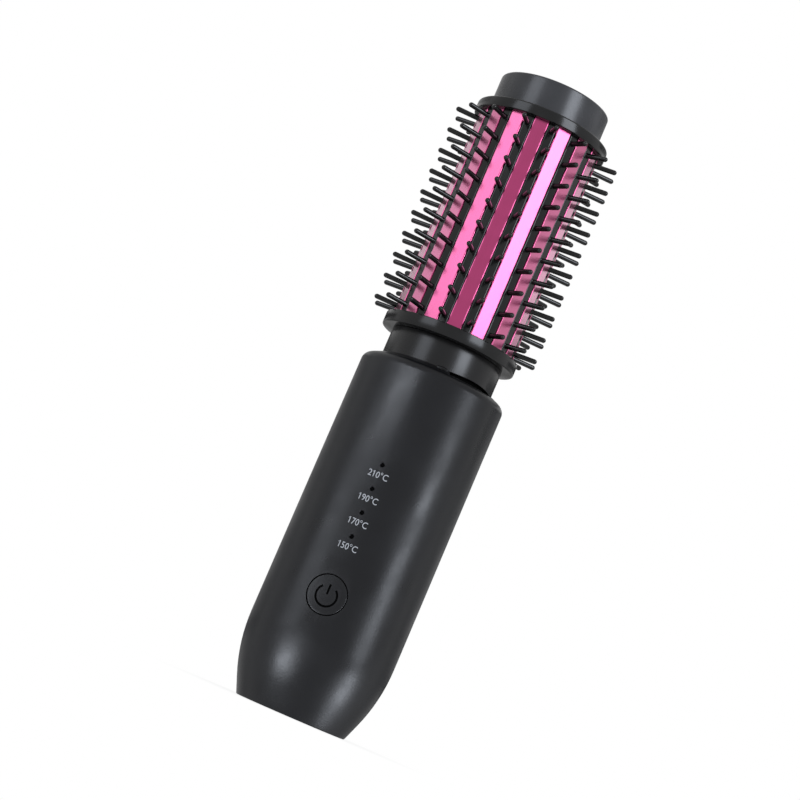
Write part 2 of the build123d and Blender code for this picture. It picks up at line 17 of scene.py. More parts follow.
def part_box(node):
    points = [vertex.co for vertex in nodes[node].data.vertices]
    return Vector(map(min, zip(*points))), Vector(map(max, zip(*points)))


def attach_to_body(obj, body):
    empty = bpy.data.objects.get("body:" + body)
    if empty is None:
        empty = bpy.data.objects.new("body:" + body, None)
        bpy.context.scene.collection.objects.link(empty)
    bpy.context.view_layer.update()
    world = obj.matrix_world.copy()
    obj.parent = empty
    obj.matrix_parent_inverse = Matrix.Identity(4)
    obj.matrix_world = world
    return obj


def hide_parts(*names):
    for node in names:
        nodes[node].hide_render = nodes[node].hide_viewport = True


MM = 0.001
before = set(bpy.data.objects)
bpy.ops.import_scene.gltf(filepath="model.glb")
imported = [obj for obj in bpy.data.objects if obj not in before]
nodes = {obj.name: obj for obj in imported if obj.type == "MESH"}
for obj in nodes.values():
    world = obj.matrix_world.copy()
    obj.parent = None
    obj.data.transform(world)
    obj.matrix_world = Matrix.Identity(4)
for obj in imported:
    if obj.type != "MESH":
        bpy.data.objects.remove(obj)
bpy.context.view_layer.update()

# %% [markdown]
# ## Camera
#
# The photograph looks at the brush from a little to its right, from the height of its base and
# slightly upwards, with the camera rolled so that the brush leans. A long lens keeps the barrel
# round. The numbers were fitted to the base, the flanges and the width of the handle.

# %% Place the camera
CAMERA_AT = Vector((0.1039, -0.5663, 0.0077))
CAMERA_HEADING = radians(-11.05)
CAMERA_PITCH = radians(8.25)
CAMERA_ROLL = radians(23.34)
LENS_MM = 94.8
SENSOR_MM = 36
NEAREST = 0.01

ahead = Vector((
    cos(CAMERA_PITCH) * sin(CAMERA_HEADING),
    cos(CAMERA_PITCH) * cos(CAMERA_HEADING),
    sin(CAMERA_PITCH),
))
level_right = Vector((cos(CAMERA_HEADING), -sin(CAMERA_HEADING), 0))
level_up = level_right.cross(ahead)
view_right = cos(CAMERA_ROLL) * level_right + sin(CAMERA_ROLL) * level_up
view_up = cos(CAMERA_ROLL) * level_up - sin(CAMERA_ROLL) * level_right

camera = bpy.data.objects.new("camera", bpy.data.cameras.new("camera"))
bpy.context.scene.collection.objects.link(camera)
camera.data.lens = LENS_MM
camera.data.sensor_width = SENSOR_MM
camera.data.clip_start = NEAREST
axes = Matrix((view_right, view_up, -ahead)).transposed()
camera.matrix_world = Matrix.Translation(CAMERA_AT) @ axes.to_4x4()
bpy.context.scene.camera = camera
print("camera looks along", [round(v, 3) for v in ahead])

# %% [markdown]
# ## Measures from the frame
#
# A turned or extruded piece needs a few radii and heights. Where the CAD has them, they are read
# from the boxes of its nodes, in millimetres, so that a changed part changes the dressed piece.

# %% Read the main measures


def low(node, axis):
    """Lowest coordinate of a CAD node along an axis, in millimetres."""
    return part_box(node)[0][axis] / MM


def high(node, axis):
    """Highest coordinate of a CAD node along an axis, in millimetres."""
    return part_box(node)[1][axis] / MM


PLUG_PAST_RIM = 1.0  # each flange's plug reaches this much further along the barrel than its rim
HANDLE_R = high("front_shell", 0)
NECK_FOOT = high("front_shell", 2)
NECK_TOP = high("neck_collar", 2)
BARREL_LOW = high("lower_flange", 2) - PLUG_PAST_RIM
BARREL_HIGH = low("upper_flange", 2) + PLUG_PAST_RIM
BARREL_FROM = low("barrel", 2)
BARREL_TO = high("barrel", 2)
CAP_FROM = low("end_cap", 2)
CAP_TO = high("end_cap", 2)
BUTTON_Z = (low("power_button", 2) + high("power_button", 2)) / 2
BUTTON_BACK = high("power_button", 1)
print("handle radius", round(HANDLE_R, 2), "barrel", round(BARREL_LOW, 2), "to", round(BARREL_HIGH, 2))

# %% [markdown]
# ## Mesh tools
#
# Most of the pieces are turned round one axis, so the natural tool is a half section that is swept
# round it. Real moulded parts have no sharp corners: `rounded` puts a small arc on each corner of a
# section, and those arcs catch the light as thin bright lines.

# %% Section and sweep helpers
SMOOTH_UP_TO = 30


def rounded(corners, steps=4):
    """Outline in which each corner (a, b, radius) is replaced by an arc."""
    outline = []
    for i, (a, b, radius) in enumerate(corners):
        here = Vector((a, b))
        if not radius:
            outline.append((a, b))
            continue
        before = (Vector(corners[i - 1][:2]) - here).normalized()
        after = (Vector(corners[(i + 1) % len(corners)][:2]) - here).normalized()
        half = before.angle(after) / 2
        centre = here + (before + after).normalized() * (radius / sin(half))
        start = here + before * (radius / tan(half)) - centre
        end = here + after * (radius / tan(half)) - centre
        turn = atan2(start.x * end.y - start.y * end.x, start.dot(end))
        for k in range(steps + 1):
            c, s = cos(turn * k / steps), sin(turn * k / steps)
            outline.append((centre.x + c * start.x - s * start.y, centre.y + s * start.x + c * start.y))
    return outline


def divided(outline, longest):
    """Outline whose long straight runs are cut into equal shorter ones."""
    result = []
    for i, (a, b) in enumerate(outline):
        c, d = outline[(i + 1) % len(outline)]
        parts = max(1, round(sqrt((c - a) ** 2 + (d - b) ** 2) / longest))
        result += [(a + (c - a) * k / parts, b + (d - b) * k / parts) for k in range(parts)]
    return result


def piece(name, mesh_data, smooth=SMOOTH_UP_TO):
    """Object from a bmesh, shaded smooth up to an angle in degrees between faces."""
    bmesh.ops.remove_doubles(mesh_data, verts=mesh_data.verts, dist=1e-7)
    bmesh.ops.recalc_face_normals(mesh_data, faces=mesh_data.faces)
    mesh = bpy.data.meshes.new(name)
    mesh_data.to_mesh(mesh)
    mesh_data.free()
    mesh.shade_smooth()
    mesh.set_sharp_from_angle(angle=radians(smooth))
    made = bpy.data.objects.new(name, mesh)
    bpy.context.scene.collection.objects.link(made)
    return made


def swept(sections, closed):
    """Bmesh through sections of equal length, as a closed loop or with both ends filled."""
    bm = bmesh.new()
    rings = [[bm.verts.new(Vector(p) * MM) for p in section] for section in sections]
    count = len(rings[0])
    for i in range(len(rings) - (not closed)):
        first, second = rings[i], rings[(i + 1) % len(rings)]
        for k in range(count):
            m = (k + 1) % count
            bm.faces.new((first[k], first[m], second[m], second[k]))
    if not closed:
        bm.faces.new(rings[0])
        bm.faces.new(rings[-1])
    bmesh.ops.dissolve_degenerate(bm, dist=1e-8, edges=bm.edges)
    return bm


def at_azimuth(r, z, azimuth):
    """Point at a radius and height; the azimuth runs from the button's side towards +X."""
    return r * sin(radians(azimuth)), -r * cos(radians(azimuth)), z


def turned(name, outline, steps=144):
    """Closed piece turned once round the brush's axis from (radius, height) points."""
    sections = [[at_azimuth(r, z, 360 * i / steps) for r, z in outline] for i in range(steps)]
    return piece(name, swept(sections, True))


print("helpers for turned pieces ready")

# %% [markdown]
# ## Boolean cuts
#
# Holes, the slot and the sunken sign are cut with closed cutter bodies, as a maker would mill them.
# The cutter is thrown away after the cut, and the result is stored as plain mesh.

# %% Cut and join helpers


def evaluated_mesh(source):
    """Mesh of an object or a text as it looks with its modifiers."""
    bpy.context.view_layer.update()
    return bpy.data.meshes.new_from_object(source.evaluated_get(bpy.context.evaluated_depsgraph_get()))


def settle(target):
    """Replace an object's mesh by its modified one and clear its modifiers."""
    settled = evaluated_mesh(target)
    target.modifiers.clear()
    target.data = settled
    settled.shade_smooth()
    settled.set_sharp_from_angle(angle=radians(SMOOTH_UP_TO))


def combine(target, tool, operation):
    """Cut a tool body from an object, or join it to the object, and remove the tool."""
    step = target.modifiers.new("combine", "BOOLEAN")
    step.solver = "EXACT"
    step.operation = operation
    step.object = tool
    settle(target)
    bpy.data.objects.remove(tool)


print("boolean helpers ready")

# %% [markdown]
# ## Handle
#
# The handle is a soft-touch shell of two halves, parted along its sides. The half section runs from
# the narrow base up a cone, over a wide arc, along the straight wall and over the rounded shoulder to
# the hole for the neck. Each half is the same section swept through half a turn. At the parting the
# outside pulls in by about a tenth of a millimetre, which leaves the fine line that real halves show.

# %% Handle halves
TAPER_TAN = tan(radians(21.4))
TAPER_CORNER = 13.23
TAPER_ARC = 48.0
SHOULDER_FROM = NECK_FOOT - 2.0
SHOULDER_ARC = 2.4
NECK_HOLE = 16.45
WALL = 2.0
LIP = 1.6
BASE_HOLE = 11.7
HOLE_EDGE = 2.19
INNER_SHOULDER = 1.31
INNER_TAPER = 0.4
SEAM_STEP = 0.12
SEAM_TURN = 0.5
foot_r = HANDLE_R - TAPER_CORNER * TAPER_TAN

handle_outline = divided(rounded([
    (foot_r, 0, 0.5),
    (HANDLE_R, TAPER_CORNER, TAPER_ARC),
    (HANDLE_R, SHOULDER_FROM, SHOULDER_ARC),
    (NECK_HOLE, NECK_FOOT, 0.12),
    (NECK_HOLE, NECK_FOOT - HOLE_EDGE, 0),
    (HANDLE_R - WALL, SHOULDER_FROM - INNER_SHOULDER, 0),
    (HANDLE_R - WALL, TAPER_CORNER + INNER_TAPER, TAPER_ARC - WALL),
    (foot_r - WALL + LIP * TAPER_TAN, LIP, 0),
    (BASE_HOLE, LIP, 0),
    (BASE_HOLE, 0, 0.2),
], steps=8), longest=2.5)


def handle_half(name, first):
    """Half of the handle through half a turn from an azimuth, with eased parting edges."""
    ends = [0, SEAM_TURN / 2, SEAM_TURN]
    turns = ends + list(range(1, 180)) + [180 - e for e in reversed(ends)]
    sections = []
    for turn in turns:
        from_end = min(turn, 180 - turn)
        ease = SEAM_STEP * max(0, 1 - from_end / SEAM_TURN)
        sections.append([
            at_azimuth(r - ease if r > NECK_HOLE + 0.5 else r, z, first + turn)
            for r, z in handle_outline
        ])
    return piece(name, swept(sections, False))


front_half = handle_half("handle_front", -90)
back_half = handle_half("handle_back", 90)
print("handle halves with", len(front_half.data.vertices), "points each")

# %% [markdown]
# ## Holes for the button and the lamps
#
# The round button sits in a hole with a softly rounded rim. Its face follows the handle's curve, so
# the section of hole and button is bent back with the wall. The lamps are four small holes above
# the button, with a dark lens behind each.

# %% Bodies that follow the wall
STRAIGHT_BELOW = -1.0


def wall_back(x):
    """How far the handle's wall lies behind its foremost line, at a distance to the side."""
    return HANDLE_R - sqrt(HANDLE_R**2 - x**2)


def on_wall(x, z, out, follow=1.0):
    """Point at a distance out of the handle's front, which may follow its curve."""
    return x, -(HANDLE_R + out - follow * wall_back(x)), z


def turned_on_wall(name, outline, z, steps=72):
    """Closed piece turned round a line out of the wall, from (radius, distance out) points."""
    sections = []
    for i in range(steps):
        turn = 2 * pi * i / steps
        sections.append([
            on_wall(r * sin(turn), z + r * cos(turn), out, 1.0 if out > STRAIGHT_BELOW else 0.0)
            for r, out in outline
        ])
    return piece(name, swept(sections, True))


HOLE_R = 5.60
HOLE_RIM_DEEP = 0.9
HOLE_DEEP = 4
CUT_OUT = 1
RIM_ARC = 0.12
rim = [
    (HOLE_R + RIM_ARC + RIM_ARC * cos(radians(t)), RIM_ARC * sin(radians(t)) - 0.9 * RIM_ARC)
    for t in (90, 112, 135, 158, 180)
]
cutter = turned_on_wall("cutter", [
    (0, CUT_OUT), (HOLE_R + RIM_ARC, CUT_OUT), *rim,
    (HOLE_R, -HOLE_RIM_DEEP), (HOLE_R, -HOLE_DEEP), (0, -HOLE_DEEP),
], BUTTON_Z)
combine(front_half, cutter, "DIFFERENCE")
LAMP_R = 0.62
LAMP_RIM = 0.08
LAMP_DEEP = 3
LAMPS = [(low(f"lamp_chip_{i}", 2) + high(f"lamp_chip_{i}", 2)) / 2 for i in range(1, 5)]
for lamp_z in LAMPS:
    cutter = turned_on_wall("cutter", [
        (0, CUT_OUT), (LAMP_R + LAMP_RIM, CUT_OUT), (LAMP_R + LAMP_RIM, 0.02),
        (LAMP_R, -LAMP_RIM), (LAMP_R, -LAMP_DEEP), (0, -LAMP_DEEP),
    ], lamp_z, steps=24)
    combine(front_half, cutter, "DIFFERENCE")
print("holes cut for the button and", len(LAMPS), "lamps")

# %% [markdown]
# ## Slot at the neck's foot
#
# On the right the foot of the neck has one dark wedge-shaped slot, with a small raised spot to the
# left of it. The slot is cut into the handle's shoulder here, and into the neck when the neck is made.
# Cuts leave large faces of odd outline that would smear the highlights, so the straight wall gets its
# exact round normals back at the end.

# %% Slot and raised spot in the shoulder
SLOT_FROM = 20.0
SLOT_TO = 81.0
SLOT_FLOOR = NECK_FOOT - 1.4
SLOT_INNER = 15
SLOT_OUTER = 20.5
SPOT_FROM = 7.0
SPOT_TURN = 12
SPOT_R = 17.0
SPOT_DOWN = 0.25
SPOT_WIDE = 0.65
SPOT_HIGH = 0.6
ON_WALL = 0.006


def sector(corners, start, end, steps=32):
    """Closed band round the axis between two azimuths, from the (radius, height) corners."""
    azimuths = [start + (end - start) * i / steps for i in range(steps + 1)]
    return swept([[at_azimuth(r, z, azimuth) for r, z in corners] for azimuth in azimuths], False)


def band(inner, outer, bottom, top):
    """Corners of a rectangular section."""
    return [(inner, bottom), (outer, bottom), (outer, top), (inner, top)]


wedge = sector(band(SLOT_INNER, SLOT_OUTER, SLOT_FLOOR, NECK_FOOT + 2), SLOT_FROM, SLOT_TO)
combine(front_half, piece("cutter", wedge), "DIFFERENCE")
spot_sections = []
for i in range(17):
    swell = 0.02 + sqrt(1 - ((i - 8) / 8) ** 2)
    azimuth = SPOT_FROM + SPOT_TURN * i / 16
    section = []
    for t in (2 * pi * k / 12 for k in range(12)):
        z = NECK_FOOT - SPOT_DOWN + SPOT_HIGH * swell * sin(t)
        section.append(at_azimuth(SPOT_R + SPOT_WIDE * swell * cos(t), z, azimuth))
    spot_sections.append(section)
combine(front_half, piece("spot", swept(spot_sections, False)), "UNION")


def exact_normals(made):
    """Round normals for the faces on the handle's straight wall, so that cuts leave no smear."""
    mesh = made.data
    normals = [normal.vector.copy() for normal in mesh.corner_normals]
    for face in mesh.polygons:
        points = [mesh.vertices[i].co for i in face.vertices]
        if all(abs(sqrt(p.x**2 + p.y**2) / MM - HANDLE_R) < ON_WALL for p in points):
            for loop, point in zip(face.loop_indices, points):
                normals[loop] = Vector((point.x, point.y, 0)).normalized()
    mesh.normals_split_custom_set(normals)


exact_normals(front_half)
print("slot cut,", len(front_half.data.polygons), "faces in the front half")

# %% [markdown]
# ## Button
#
# The button is a round cap with a wider collar behind the wall, which keeps it from falling out, and
# a short stem that rests on the switch. The power sign is sunken into its face, with a near-black,
# almost unreflecting strip in the bottom of the line: black paint, and also painted shade for the
# line's own shadow.

# %% Button with its sign
BUTTON_R = 5.35
COLLAR_R = 6.6
COLLAR_FRONT = 1.3
COLLAR_BACK = 0.3
STEM_R = 1.7
button_end = -HANDLE_R - BUTTON_BACK
button = turned_on_wall("button_cap", divided(rounded([
    (0, 0, 0),
    (BUTTON_R, 0, 0.15),
    (BUTTON_R, button_end + COLLAR_FRONT, 0),
    (COLLAR_R, button_end + COLLAR_FRONT, 0),
    (COLLAR_R, button_end + COLLAR_BACK, 0),
    (STEM_R, button_end + COLLAR_BACK, 0),
    (STEM_R, button_end, 0),
    (0, button_end, 0),
]), longest=0.6), BUTTON_Z)
SIGN_Z = BUTTON_Z - 0.3
SIGN_R = 2.87
SIGN_W = 0.29
SIGN_GAP = 41
SIGN_BAR = (0.35, 3.2)
SIGN_DEEP = 0.2
PAINT_FROM = -SIGN_DEEP - 0.02
PAINT_TO = -SIGN_DEEP + 0.06


def sign_arc(low_out, high_out, steps=60):
    """Sections of the open ring of the power sign between two distances out of the wall."""
    sections = []
    for i in range(steps + 1):
        turn = radians(SIGN_GAP + (360 - 2 * SIGN_GAP) * i / steps)
        sections.append([
            on_wall(r * sin(turn), SIGN_Z + r * cos(turn), out)
            for r, out in (
                (SIGN_R - SIGN_W, low_out), (SIGN_R + SIGN_W, low_out),
                (SIGN_R + SIGN_W, high_out), (SIGN_R - SIGN_W, high_out),
            )
        ])
    return sections


def sign_bar(low_out, high_out):
    """Sections of the upright bar of the power sign."""
    corners = ((-SIGN_W, low_out), (SIGN_W, low_out), (SIGN_W, high_out), (-SIGN_W, high_out))
    return [[on_wall(x, SIGN_Z + z, out) for x, out in corners] for z in SIGN_BAR]


combine(button, piece("cutter", swept(sign_arc(-SIGN_DEEP, 0.5), False)), "DIFFERENCE")
combine(button, piece("cutter", swept(sign_bar(-SIGN_DEEP, 0.5), False)), "DIFFERENCE")
# The sign's ring and bar strips are black paint and also painted shade: near-black and almost unreflecting,
# they stand in for the shadow in the sunken line.
sign_ring = piece("sign_ring", swept(sign_arc(PAINT_FROM, PAINT_TO), False))
sign_stroke = piece("sign_stroke", swept(sign_bar(PAINT_FROM, PAINT_TO), False))
print("button with its sunken sign made")

# %% [markdown]
# ## Temperature figures
#
# Under each lamp stands its temperature in small light grey print. Text is made as a curve, turned
# into mesh, and bent round the handle, so the print lies on the wall as a pad print does. The plain
# upright of each figure one gets the small flag that the real print shows.

# %% Print the figures
FIGURES = ["150", "170", "190", "210"]
FIGURE_HIGH = 1.85
FIGURE_BELOW = 2.8
FIGURE_NARROW = 0.87
PRINT_OUT = 0.02
PRINT_IN = 0.03
STEM_WIDE = 0.25
FLAG = ((0, 0), (0, 0.19), (0.2, 0.28), (0.2, 0.15))  # to the left and down, in shares of the height


def add_flags(mesh):
    """Give each plain upright stroke of a text mesh, the figure one, a small flag.

    The front, back and sides of a text mesh are not joined, so a stroke is met three times and its
    flag is made three times in one place.
    """
    bm = bmesh.new()
    bm.from_mesh(mesh)
    tallest = max(vertex.co.y for vertex in bm.verts)
    met = set()
    stems = []
    for first in bm.verts:
        reach = [] if first in met else [first]
        island = []
        while reach:
            vertex = reach.pop()
            if vertex not in met:
                met.add(vertex)
                island.append(vertex.co)
                reach += [edge.other_vert(vertex) for edge in vertex.link_edges]
        if island:
            xs, ys = [p.x for p in island], [p.y for p in island]
            if max(xs) - min(xs) < STEM_WIDE * tallest < 2 * STEM_WIDE * (max(ys) - min(ys)):
                stems.append((min(xs), max(ys)))
    deep = max(vertex.co.z for vertex in bm.verts)
    for x, y in stems:
        outline = [(x - left * tallest, y - down * tallest) for left, down in FLAG]
        rings = [[bm.verts.new((a, b, z)) for a, b in outline] for z in (-deep, deep)]
        bm.faces.new(rings[0][::-1])
        bm.faces.new(rings[1])
        for k in range(4):
            m = (k + 1) % 4
            bm.faces.new((rings[0][k], rings[0][m], rings[1][m], rings[1][k]))
    bmesh.ops.recalc_face_normals(bm, faces=bm.faces)
    bm.to_mesh(mesh)
    bm.free()
    return len(stems)


def printed(name, words, z):
    """Thin printed words on the front of the wall, centred on a height."""
    text = bpy.data.curves.new(name, "FONT")
    text.body = words
    text.extrude = 0.01
    text.resolution_u = 3
    source = bpy.data.objects.new(name + "_text", text)
    bpy.context.scene.collection.objects.link(source)
    mesh = evaluated_mesh(source)
    bpy.data.objects.remove(source)
    print(name, "flags:", add_flags(mesh))
    points = [v.co.copy() for v in mesh.vertices]
    left, right = min(p.x for p in points), max(p.x for p in points)
    digits_high = max(p.y for p in points)
    scale = FIGURE_HIGH / digits_high
    for vertex in mesh.vertices:
        across = (vertex.co.x - (left + right) / 2) * scale * FIGURE_NARROW
        out = PRINT_OUT if vertex.co.z > 0 else -PRINT_IN
        up = z + vertex.co.y * scale - FIGURE_HIGH / 2
        vertex.co = Vector(at_azimuth(HANDLE_R + out, up, degrees(across / HANDLE_R))) * MM
    made = bpy.data.objects.new(name, mesh)
    bpy.context.scene.collection.objects.link(made)
    return made


figures = []
for words, z in zip(FIGURES, LAMPS):
    figures.append(printed(f"figure_{words}", words + "\N{DEGREE SIGN}C", z - FIGURE_BELOW))
print("figures printed:", ", ".join(FIGURES))

# %% [markdown]
# ## Neck, flanges and end cap
#
# Four more turned pieces. The neck is a glossy tube, the flanges are satin rings that hold the barrel
# between them, and the end cap is a plain cup that stays cool to the touch. Rounded rims give the
# fine highlights of the photograph. The slot goes on a little way into the neck, and a near-black strip
# at the back of it is painted shade: it stands in for the shadow inside the slot.

# %% Turned pieces above the handle
NECK_R = 16.3
NECK_BORE = 14.3
NECK_FROM = low("neck_collar", 2)
NECK_BASE_R = high("neck_collar", 0)
NECK_BASE_HIGH = 2
CABLE_HOLE = 9.0
NECK_PLUG = 14.25
BORE_PLUG = 13.95
PLUG_LONG = 2.5
SOCKET = 18.05
FLANGE_R = high("lower_flange", 0)
ROD_HOLE = 1.6
CAP_R = high("end_cap", 0)
CAP_BORE = 14.2
CAP_PLUG = 14.15
CAP_PLUG_LONG = 1.6
CAP_WALL = 2
SLOT_RISE = 0.5
SLOT_DEEP = 1.8
SHADE_STRIP_BACK = 1.75
SHADE_STRIP_FRONT = 1.2

neck = turned("neck_tube", rounded([
    (CABLE_HOLE, NECK_FROM, 0),
    (NECK_BASE_R, NECK_FROM, 0),
    (NECK_BASE_R, NECK_FROM + NECK_BASE_HIGH, 0),
    (NECK_R, NECK_FROM + NECK_BASE_HIGH, 0),
    (NECK_R, NECK_TOP, 0.15),
    (NECK_BORE, NECK_TOP, 0),
    (NECK_BORE, NECK_FROM + NECK_BASE_HIGH, 0),
    (CABLE_HOLE, NECK_FROM + NECK_BASE_HIGH, 0),
]))


def slot_band(inner, outer, below=0.0, short=0.0, steps=32):
    """Closed band in the slot, a little below its arched upper edge and short of its ends."""
    sections = []
    for i in range(steps + 1):
        share = i / steps
        azimuth = SLOT_FROM + short + (SLOT_TO - SLOT_FROM - 2 * short) * share
        top = NECK_FOOT - below + SLOT_RISE * sin(pi * share)
        sections.append([at_azimuth(r, z, azimuth) for r, z in band(inner, outer, SLOT_FLOOR, top)])
    return swept(sections, False)


combine(neck, piece("cutter", slot_band(NECK_R - SLOT_DEEP, NECK_R + 1)), "DIFFERENCE")
# The strip at the back of the slot is painted shade: a near-black, almost unreflecting band put where the
# slot's inside would lie in shadow.
slot_shade_strip = piece("slot_painted_shade", slot_band(NECK_R - SHADE_STRIP_BACK, NECK_R - SHADE_STRIP_FRONT, 0.02, 0.2))
lower_ring = turned("flange_below", rounded([
    (ROD_HOLE, NECK_TOP - PLUG_LONG, 0),
    (NECK_PLUG, NECK_TOP - PLUG_LONG, 0),
    (NECK_PLUG, NECK_TOP, 0),
    (FLANGE_R, NECK_TOP, 0.45),
    (FLANGE_R, BARREL_LOW, 0.25),
    (SOCKET, BARREL_LOW, 0.12),
    (SOCKET, BARREL_FROM, 0),
    (BORE_PLUG, BARREL_FROM, 0),
    (BORE_PLUG, BARREL_FROM + PLUG_LONG, 0),
    (ROD_HOLE, BARREL_FROM + PLUG_LONG, 0),
]))
upper_ring = turned("flange_above", rounded([
    (ROD_HOLE, BARREL_TO - PLUG_LONG, 0),
    (BORE_PLUG, BARREL_TO - PLUG_LONG, 0),
    (BORE_PLUG, BARREL_TO, 0),
    (SOCKET, BARREL_TO, 0),
    (SOCKET, BARREL_HIGH, 0.12),
    (FLANGE_R, BARREL_HIGH, 0.25),
    (FLANGE_R, CAP_FROM, 0.45),
    (CAP_PLUG, CAP_FROM, 0),
    (CAP_PLUG, CAP_FROM + CAP_PLUG_LONG, 0),
    (ROD_HOLE, CAP_FROM + CAP_PLUG_LONG, 0),
]))
cap = turned("cool_cap", rounded([
    (0, CAP_TO, 0),
    (CAP_R, CAP_TO, 0.6),
    (CAP_R, CAP_FROM, 0.15),
    (CAP_BORE, CAP_FROM, 0),
    (CAP_BORE, CAP_TO - CAP_WALL, 0),
    (0, CAP_TO - CAP_WALL, 0),
], 5))
print("neck, two flanges and cap turned")

# %% [markdown]
# ## Barrel
#
# The barrel is an aluminium extrusion: sixteen flat faces with a T-shaped groove between each two.
# We draw the section of one groove, repeat it round the axis and pull the outline up. The mouths of
# the grooves are rounded, which is what draws the thin light lines beside each face.

# %% Barrel
FACES = 16
STEP = 360 / FACES
FIRST_STRIP = -3.9
FACE_R = 17.9
MOUTH = 1.375
MOUTH_ARC = 0.28
GROOVE_SHELF = 16.2
GROOVE_FLOOR = 15.2
GROOVE_HALF = 2.1
BORE_R = 14
BORE_STEPS = 60
half_step = radians(STEP / 2)
mouth_top = (FACE_R - MOUTH * sin(half_step)) / cos(half_step)


def along(groove, x, y):
    """Point of a groove's own section, turned to that groove's place round the axis."""
    turn = radians(FIRST_STRIP - 90 + groove * STEP)
    return x * cos(turn) - y * sin(turn), x * sin(turn) + y * cos(turn)


groove_corners = [
    (mouth_top, -MOUTH, MOUTH_ARC), (GROOVE_SHELF, -MOUTH, 0),
    (GROOVE_SHELF, -GROOVE_HALF, 0), (GROOVE_FLOOR, -GROOVE_HALF, 0),
    (GROOVE_FLOOR, GROOVE_HALF, 0), (GROOVE_SHELF, GROOVE_HALF, 0),
    (GROOVE_SHELF, MOUTH, 0), (mouth_top, MOUTH, MOUTH_ARC),
]
barrel_corners = [(*along(g, x, y), e) for g in range(FACES) for x, y, e in groove_corners]
barrel_outline = rounded(barrel_corners, 3)
bore_turns = [2 * pi * i / BORE_STEPS for i in range(BORE_STEPS)]
bore = [(BORE_R * cos(turn), BORE_R * sin(turn)) for turn in bore_turns]
bm = bmesh.new()
ends = {}
for z in (BARREL_FROM, BARREL_TO):
    loops = []
    for outline in (barrel_outline, bore):
        loops.append([bm.verts.new(Vector((x, y, z)) * MM) for x, y in outline])
    edges = []
    for loop in loops:
        edges += [bm.edges.new((loop[k - 1], loop[k])) for k in range(len(loop))]
    bmesh.ops.triangle_fill(bm, use_beauty=False, edges=edges)
    ends[z] = loops
for lower, upper in zip(ends[BARREL_FROM], ends[BARREL_TO]):
    for k in range(len(lower)):
        bm.faces.new((lower[k - 1], lower[k], upper[k], upper[k - 1]))
barrel = piece("heated_barrel", bm, 14)
print("barrel with", FACES, "faces")

# %% [markdown]
# ## Bristle strips
#
# Each groove holds one moulded strip: a rail with a wide foot, and ten round pins that stand straight
# out of it. The pins end in half-round tips so that they do not scratch. One strip is built and joined
# into a single body, and the other fifteen are turned copies of it.

# %% Bristle strips
FIT = 0.05
RAIL_TOP = 17.85
RAIL_HALF = MOUTH - FIT
FOOT_TOP = GROOVE_SHELF - FIT
FOOT_BOTTOM = GROOVE_FLOOR + FIT
FOOT_HALF = GROOVE_HALF - FIT
PIN_R = 0.71
PIN_TIP = 24.7
PIN_PITCH = 6.46
PIN_FIRST = 2.2
PIN_COUNT = 10
PIN_SIDES = 16
strip_outline = rounded([
    (FOOT_BOTTOM, -FOOT_HALF, 0), (FOOT_TOP, -FOOT_HALF, 0),
    (FOOT_TOP, -RAIL_HALF, 0), (RAIL_TOP, -RAIL_HALF, 0.4),
    (RAIL_TOP, RAIL_HALF, 0.4), (FOOT_TOP, RAIL_HALF, 0),
    (FOOT_TOP, FOOT_HALF, 0), (FOOT_BOTTOM, FOOT_HALF, 0),
])
strip_ends = [[(x, y, z) for x, y in strip_outline] for z in (BARREL_FROM, BARREL_TO)]
strip = piece("bristles_01", swept(strip_ends, False))
pin_side = [(RAIL_TOP - 0.4, PIN_R + 0.2), (RAIL_TOP, PIN_R + 0.14), (RAIL_TOP + 0.08, PIN_R + 0.05),
            (RAIL_TOP + 0.25, PIN_R)]
for t in (0, 22, 45, 66, 82):
    pin_side.append((PIN_TIP - PIN_R + PIN_R * sin(radians(t)), PIN_R * cos(radians(t))))
for i in range(PIN_COUNT):
    z = BARREL_LOW + PIN_FIRST + i * PIN_PITCH
    turns = [2 * pi * k / PIN_SIDES for k in range(PIN_SIDES)]
    sections = [[(x, r * cos(turn), z + r * sin(turn)) for turn in turns] for x, r in pin_side]
    combine(strip, piece("pin", swept(sections, False)), "UNION")
strips = [strip]
for i in range(1, FACES):
    copy = bpy.data.objects.new(f"bristles_{i + 1:02d}", strip.data.copy())
    bpy.context.scene.collection.objects.link(copy)
    strips.append(copy)
for i, made in enumerate(strips):
    made.data.transform(Matrix.Rotation(radians(FIRST_STRIP - 90 + i * STEP), 4, "Z"))
print(len(strips), "strips of", PIN_COUNT, "pins,", len(strip.data.polygons), "faces each")

# %% [markdown]
# ## Effects that the finishes share
#
# Four small node groups do the work of most finishes. The grain is the fine texture of a moulded
# wall. Handling is the uneven gloss that fingers leave. The rub lightens edges where the piece is
# touched most. The streaks run along the axis, as on drawn metal and on a coating sprayed over it.

# %% Shader node groups


def new_group(name, inputs, outputs):
    """Empty shader node group with float inputs and outputs, and its two end nodes."""
    group = bpy.data.node_groups.new(name, "ShaderNodeTree")
    for title, value in inputs.items():
        socket = group.interface.new_socket(title, in_out="INPUT", socket_type="NodeSocketFloat")
        socket.default_value = value
    for title in outputs:
        group.interface.new_socket(title, in_out="OUTPUT", socket_type="NodeSocketFloat")
    return group, group.nodes.new("NodeGroupInput"), group.nodes.new("NodeGroupOutput")


def add(tree, kind, **values):
    """Node of a kind, with properties and with input values by name."""
    node = tree.nodes.new(kind)
    for name, value in values.items():
        if hasattr(node, name):
            setattr(node, name, value)
        else:
            node.inputs[name.replace("_", " ")].default_value = value
    return node


def math_of(tree, operation, first, second, **values):
    """Result of a Math node over two outputs."""
    node = add(tree, "ShaderNodeMath", operation=operation, **values)
    tree.links.new(first, node.inputs[0])
    tree.links.new(second, node.inputs[1])
    return node.outputs[0]


